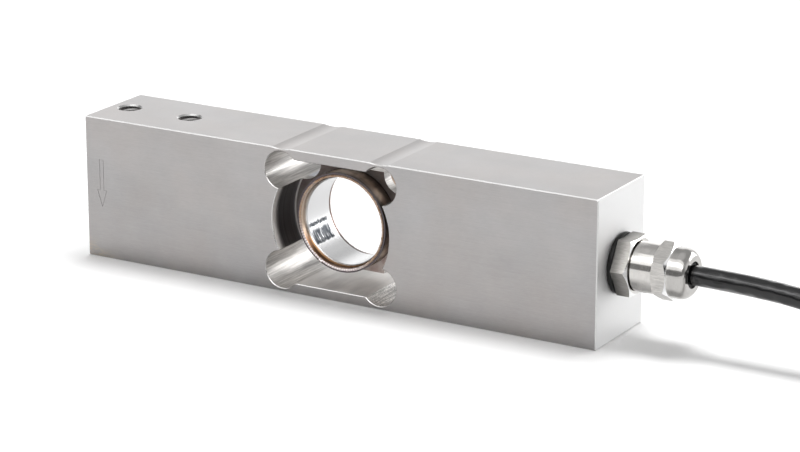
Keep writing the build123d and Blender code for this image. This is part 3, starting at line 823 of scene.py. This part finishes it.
def loopPlaces():
    # the control points of one turn, each as its stretch and its place on that stretch
    front = [("front", place) for place in cableRoute["frontPlaces"]]
    back = [("back", place) for place in cableRoute["backPlaces"]]
    return front + foldPlaces("right") + back + foldPlaces("left")


def alongTurn(kind, value, radius):
    # how far along its turn a control point lies
    run, fold = cableRoute["hankRun"], math.pi * radius
    if kind == "front":
        return value
    if kind == "right":
        return run + fold * value / 180
    if kind == "back":
        return run + fold + run - value
    return run + fold + run + fold * value / 180


def squeezeAt(x):
    fromTie = abs(x - cableRoute["tieAt"])
    if fromTie < 1:
        return cableRoute["squeezeInTie"]
    return cableRoute["squeezeByTie"] if fromTie < cableRoute["tieReach"] else 1.0


def hankPoint(kind, value, radius, level):
    start, run, side = cableRoute["hankStart"], cableRoute["hankRun"], cableRoute["hankSide"]
    if kind == "front":
        return (start + value, side - radius, level)
    if kind == "back":
        middle, middleLevel = cableRoute["runMiddle"]
        squeeze = squeezeAt(start + value)
        away = side + middle + (radius - middle) * squeeze
        return (start + value, away, middleLevel + (level - middleLevel) * squeeze)
    # a control point on a fold stands out by as much as the line cuts inside it
    reach = radius / math.cos(math.radians(cableRoute["foldSteps"][kind] / 2))
    turn = math.radians(value)
    if kind == "right":
        return (start + run + reach * math.sin(turn), side - reach * math.cos(turn), level)
    return (start - reach * math.sin(turn), side + reach * math.cos(turn), level)


def hankPoints():
    slots = hankSlots()
    points = []
    for turn in range(len(slots) - 1):
        (fromRadius, fromLevel), (toRadius, toLevel) = slots[turn], slots[turn + 1]
        length = 2 * cableRoute["hankRun"] + math.pi * 2 * fromRadius
        moveEnd = cableRoute["moveEnd"] + cableRoute["moveStagger"] * turn
        for kind, value in loopPlaces():
            left = length - alongTurn(kind, value, fromRadius)
            share = min(1.0, max(0.0, 1 - (left - moveEnd) / cableRoute["moveLength"]))
            share = share * share * (3 - 2 * share)
            radius = fromRadius + (toRadius - fromRadius) * share
            level = fromLevel + (toLevel - fromLevel) * share
            points.append(hankPoint(kind, value, radius, level))
    return points


def makeCord(name, points, diameter):
    curve = bpy.data.curves.new(name, "CURVE")
    curve.dimensions = "3D"
    spline = curve.splines.new("NURBS")
    spline.points.add(len(points) - 1)
    for point, place in zip(spline.points, points):
        point.co = (place[0] * mm, place[1] * mm, place[2] * mm, 1)
    spline.order_u = 3
    spline.use_endpoint_u = True
    spline.resolution_u = cableRoute["stepsPerPoint"]
    curve.bevel_depth = diameter * mm / 2
    curve.bevel_resolution = cableRoute["roundness"]
    curve.use_fill_caps = True
    piece = bpy.data.objects.new(name, curve)
    bpy.context.collection.objects.link(piece)
    return piece


tie = {
    "across": 9.0,
    "tall": 22.5,
    "thick": 1.2,
    "wide": 4.8,
    "corner": 4.0,
    "softEdge": 0.25,
    "centreY": 27.5,
    "centreZ": 12.5,
    "head": (6.0, 4.0, 8.0),
    "headSoftEdge": 0.6,
    "slot": (4.9, 1.3),
    "slotOut": 0.35,  # the slot lies this much further out than the head's middle
    "end": (4.6, 1.1),
    "endHeight": 3.0,
    "endCuts": 11,
    "ribsPerMm": 1.1,
    "ribDepth": 0.3,
    "ribHalf": 2.0,  # the ribs reach this far to each side
}


def makeTieBand():
    # a block with rounded corners, opened at both sides and given its thickness inwards
    size = (tie["wide"], tie["across"] + 2 * tie["thick"], tie["tall"] + 2 * tie["thick"])
    band = addBlock((0, 0, 0), size)

    def runsAcross(edge):
        first, second = (band.data.vertices[i].co for i in edge.vertices)
        return abs(first.x - second.x) > mm

    selectWhere(band, "EDGE", runsAcross)
    bpy.ops.mesh.bevel(offset=tie["corner"] * mm, segments=8)
    leaveEditing()
    selectWhere(band, "FACE", lambda face: abs(face.normal.x) > 0.9)
    bpy.ops.mesh.delete(type="FACE")
    leaveEditing()
    applyModifier(band, "SOLIDIFY", thickness=tie["thick"] * mm, offset=-1, use_even_offset=True)
    softEdge = {"limit_method": "ANGLE", "angle_limit": math.radians(50)}
    applyModifier(band, "BEVEL", width=tie["softEdge"] * mm, segments=2, **softEdge)
    return band


def makeTie():
    band = makeTieBand()
    # the head, with the slot that the band's end comes through
    headY = tie["across"] / 2 + tie["head"][1] / 2
    slotY = headY + tie["slotOut"]
    head = addBlock((0, headY, 0), tie["head"])
    applyModifier(head, "BEVEL", width=tie["headSoftEdge"] * mm, segments=3, limit_method="ANGLE")
    slot = addBlock((0, slotY, 0), (*tie["slot"], 20))
    applyModifier(head, "BOOLEAN", operation="DIFFERENCE", object=slot, solver="EXACT")
    bpy.data.objects.remove(slot)

    # the band's end, cut off short above the head, with its cross ribs
    tall = tie["head"][2] + tie["endHeight"]
    end = addBlock((0, slotY, tie["endHeight"] / 2), (*tie["end"], tall))
    selectAll(end)
    bpy.ops.mesh.subdivide(number_cuts=tie["endCuts"])
    leaveEditing()

    def isGroove(point):
        outer = point.co.y > (slotY + tie["end"][1] / 2 - 0.1) * mm
        inner = abs(point.co.x) < tie["ribHalf"] * mm
        return outer and inner and round(point.co.z / mm * tie["ribsPerMm"]) % 2 == 1

    selectWhere(end, "VERT", isGroove)
    bpy.ops.transform.translate(value=(0, -tie["ribDepth"] * mm, 0))
    leaveEditing()

    clearSelection()
    for part in (head, end, band):
        part.select_set(True)
    bpy.context.view_layer.objects.active = band
    bpy.ops.object.join()
    band.location = (cableRoute["tieAt"] * mm, tie["centreY"] * mm, tie["centreZ"] * mm)
    return finishPiece(band, "cableTie", finishes["tie_plastic"], "cable_tie")


cablePoints = cableRoute["corners"] + hankPoints() + cableRoute["tail"]
cord = makeCord("signalCable", cablePoints, cableRoute["diameter"])
cord.data.materials.append(finishes["cable_sheath"])
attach(cord, "root")
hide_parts("cable", "cable_hank", "cable_tail")
leadNames = ["lead_" + colour for colour in ("grey", "red", "blue", "green", "white", "black")]
onCable = ["end_sleeve", *leadNames, "lead_tips"]
[makeTie()] + [frame["nodes"][name] for name in onCable]
print("cable laid with", len(cablePoints), "points")


def makeWeldRing(name, node, offset):
    clearSelection()
    bpy.ops.mesh.primitive_torus_add(
        location=(0, offset * mm, axisHeight),
        rotation=(math.pi / 2, 0, 0),
        major_segments=weldRing["segments"],
        minor_segments=weldRing["segmentsAcross"],
        major_radius=weldRing["radius"] * mm,
        minor_radius=weldRing["thickness"] * mm,
    )
    piece = bpy.context.active_object
    placeIntoMesh(piece)

    def rippleStep(point):
        turn = math.atan2(point.co.z - axisHeight, point.co.x) / (2 * math.pi)
        return round(turn * weldRing["segments"]) % weldRing["rippleEvery"]

    def nearSpatter(point):
        x, z = weldRing["spatterAt"]
        gap = Vector((point.co.x - x * mm, point.co.z - axisHeight - z * mm))
        return gap.length < weldRing["spatterReach"] * mm

    def swell(isChosen, height):
        selectWhere(piece, "VERT", isChosen)
        bpy.ops.transform.shrink_fatten(value=height * mm)
        leaveEditing()

    swell(lambda point: rippleStep(point) == 0, weldRing["rippleHeight"])
    swell(lambda point: rippleStep(point) == 2, -weldRing["rippleHeight"])
    if offset < 0:
        swell(nearSpatter, weldRing["spatterHeight"])
    return finishPiece(piece, name, finishes["weld"], node)


makeWeldRing("frontWeldRing", "front_weld_bead", -weldRing["offset"])
makeWeldRing("rearWeldRing", "rear_weld_bead", weldRing["offset"])
print("weld rings made")


thread = {
    "boreRadius": 3.0,
    "threadRidgeAndLobeHighlight": 0.5,
    "sunk": 0.02,  # the ridge's foot lies this deep in the wall
    "foot": 0.88,
    "crestShare": 0.25,
    "pitch": 1.0,
    "turns": 9,
    "stepsPerTurn": 32,
    # each hole's X, the height where its thread starts, and which way it goes in
    "holes": {
        "loadThread1": (-69.5, 37.3, -1),
        "loadThread2": (-50.5, 37.3, -1),
        "fixingThread1": (50.5, 0.7, 1),
        "fixingThread2": (69.5, 0.7, 1),
    },
}


def makeThread(name, x, start, inwards):
    # one ridge, wound into the bore from its mouth
    clearSelection()
    bpy.ops.mesh.primitive_plane_add(size=1, location=(x * mm, 0, start * mm), rotation=(math.pi / 2, 0, 0))
    piece = bpy.context.active_object
    piece.scale = ((thread["threadRidgeAndLobeHighlight"] + 2 * thread["sunk"]) * mm, thread["foot"] * mm, 1)
    bpy.ops.object.transform_apply(location=False, rotation=True, scale=True)
    selectWhere(piece, "VERT", lambda point: point.co.x < 0)
    bpy.ops.transform.resize(value=(1, 1, thread["crestShare"]))
    bpy.ops.mesh.select_all(action="SELECT")
    middle = thread["boreRadius"] + thread["sunk"] - thread["threadRidgeAndLobeHighlight"] / 2
    bpy.ops.transform.translate(value=(middle * mm, 0, inwards * thread["foot"] / 2 * mm))
    bpy.ops.mesh.delete(type="ONLY_FACE")
    leaveEditing()
    applyModifier(
        piece,
        "SCREW",
        screw_offset=inwards * thread["pitch"] * mm,
        iterations=thread["turns"],
        steps=thread["stepsPerTurn"],
        render_steps=thread["stepsPerTurn"],
    )
    selectAll(piece)
    bpy.ops.mesh.fill_holes(sides=4)
    bpy.ops.mesh.normals_make_consistent(inside=False)
    leaveEditing()
    return finishPiece(piece, name, finishes["stainless_body"])


for threadName, threadPlace in thread["holes"].items():
    makeThread(threadName, *threadPlace)
print("threads wound")


studio = {
    "floorSize": 6.0,  # metres
    "floorColour": (0.95, 0.95, 0.95),
    "floorGlow": 0.06,
    "lampShare": 0.56,
    "worldLight": 0.50,
    # what metal mirrors, by how far a direction points back (Y) and up (Z)
    "roomFront": 0.28,
    "roomTurnsWhite": (-0.35, 0.25),
    "ceiling": 0.52,
    "ceilingFrom": (0.32, 0.55),
    "zenith": 0.80,
    "zenithFrom": (0.80, 0.97),
    # a wide diffuser in front and above, in degrees of climb, which only metal mirrors too
    "diffuserLow": 26.0,
    "diffuserHigh": 76.0,
    "diffuserSides": (0.80, 0.85),
    "diffuserLevel": 1.6,
    "diffuserCore": 4.8,
    "coreReach": (4.0, 12.0),
    # the lamps' places and sizes are in metres
    "lampHeight": 0.9,
    "lampAim": (0.0, 0.0, 0.02),
    "lamps": {
        "overheadLamp": {"place": (0.0, 0.18, 0.9), "size": (0.5, 0.28), "power": 6.4, "mirrored": False},
        "backLamp": {"place": (-0.9, 1.5, 0.55), "size": (2.0, 0.9), "power": 3.0, "mirrored": True},
        "endLamp": {"place": (0.75, 1.0, 0.33), "size": (1.0, 0.6), "power": 6.5, "mirrored": True},
    },
    "cameraPlace": (382.4, -626.0, 244.8),
    "cameraDown": 17.30,  # degrees
    "cameraTurn": 30.54,
    "lens": 135.95,
}


def makeFloor():
    bpy.ops.mesh.primitive_plane_add(size=studio["floorSize"], location=(0, 0, 0))
    floor = bpy.context.active_object
    floor.name = "studioFloor"
    material = bpy.data.materials.new("studioFloor")
    material.use_nodes = True
    tree = material.node_tree
    tree.nodes.clear()
    flow = Flow(tree)
    path = flow.node("ShaderNodeLightPath")
    shown = path.larger(path.part("Is Glossy Ray")).larger(path.part("Is Transmission Ray"))
    paint = flow.node("ShaderNodeBsdfDiffuse", {}, {"Color": (*studio["floorColour"], 1)})
    # away from the object the floor glows by as much as the overhead lamp's light falls off
    x, y, _ = flow.node("ShaderNodeTexCoord", output="Object").split()
    spread = 1.0 + (x * x + y * y) / studio["lampHeight"] ** 2
    faint = studio["floorGlow"] + studio["lampShare"] * (1.0 - 1.0 / (spread * spread))
    glow = flow.node("ShaderNodeEmission", {}, {"Strength": shown * faint})
    both = flow.node("ShaderNodeAddShader", {}, {0: paint, 1: glow})
    flow.node("ShaderNodeOutputMaterial", {}, {0: both})
    floor.data.materials.append(material)


def makeWorld():
    world = bpy.data.worlds.new("studio")
    bpy.context.scene.world = world
    world.use_nodes = True
    tree = world.node_tree
    tree.nodes.clear()
    flow = Flow(tree)
    path = flow.node("ShaderNodeLightPath")
    towardX, towardY, up = flow.node("ShaderNodeTexCoord", output="Generated").split()
    # metal mirrors a white sweep behind, a darker room in front and a grey ceiling
    horizon = towardY.step(*studio["roomTurnsWhite"], studio["roomFront"], 1.0)
    room = horizon + (studio["ceiling"] - horizon) * up.step(*studio["ceilingFrom"])
    room = room + (studio["zenith"] - studio["ceiling"]) * up.step(*studio["zenithFrom"])
    climb = flow.math("ARCTAN2", up, towardY * -1.0) * (180 / math.pi)
    low, high = studio["diffuserLow"], studio["diffuserHigh"]
    diffuser = climb.between((low - 1, low + 1), (high - 1, high + 1))
    diffuser = diffuser * towardX.size().fade(*studio["diffuserSides"])
    fromMiddle = (climb - (low + high) / 2).size()
    core = fromMiddle.step(*studio["coreReach"], studio["diffuserCore"], studio["diffuserLevel"])
    room = room + (core - room) * diffuser
    mirrored = path.part("Is Glossy Ray").larger(path.part("Is Transmission Ray"))
    light = studio["worldLight"]
    strength = mirrored * (room - light) + path * (1.0 - light) + light
    glow = flow.node("ShaderNodeBackground", {}, {"Color": (1, 1, 1, 1), "Strength": strength})
    flow.node("ShaderNodeOutputWorld", {}, {0: glow})


def makeLamps():
    for name, settings in studio["lamps"].items():
        lamp = bpy.data.lights.new(name, "AREA")
        lamp.shape = "RECTANGLE"
        lamp.size, lamp.size_y = settings["size"]
        lamp.energy = settings["power"]
        holder = bpy.data.objects.new(name, lamp)
        bpy.context.collection.objects.link(holder)
        holder.location = settings["place"]
        aim = Vector(studio["lampAim"]) - Vector(settings["place"])
        holder.rotation_euler = aim.to_track_quat("-Z", "Y").to_euler()
        # the overhead lamp lights the floor, the others are only mirrored in the metal
        holder.visible_glossy = settings["mirrored"]
        holder.visible_diffuse = not settings["mirrored"]


def makeCamera():
    camera = bpy.data.cameras.new("camera")
    camera.sensor_width = 36
    camera.lens = studio["lens"]
    camera.clip_start = 0.01
    holder = bpy.data.objects.new("camera", camera)
    bpy.context.collection.objects.link(holder)
    holder.location = [value * mm for value in studio["cameraPlace"]]
    tilt, turn = math.radians(90 - studio["cameraDown"]), math.radians(studio["cameraTurn"])
    holder.rotation_euler = (tilt, 0, turn)
    bpy.context.scene.camera = holder


makeFloor()
makeWorld()
makeLamps()
makeCamera()
bpy.context.scene.view_settings.view_transform = "Standard"
print("studio ready")
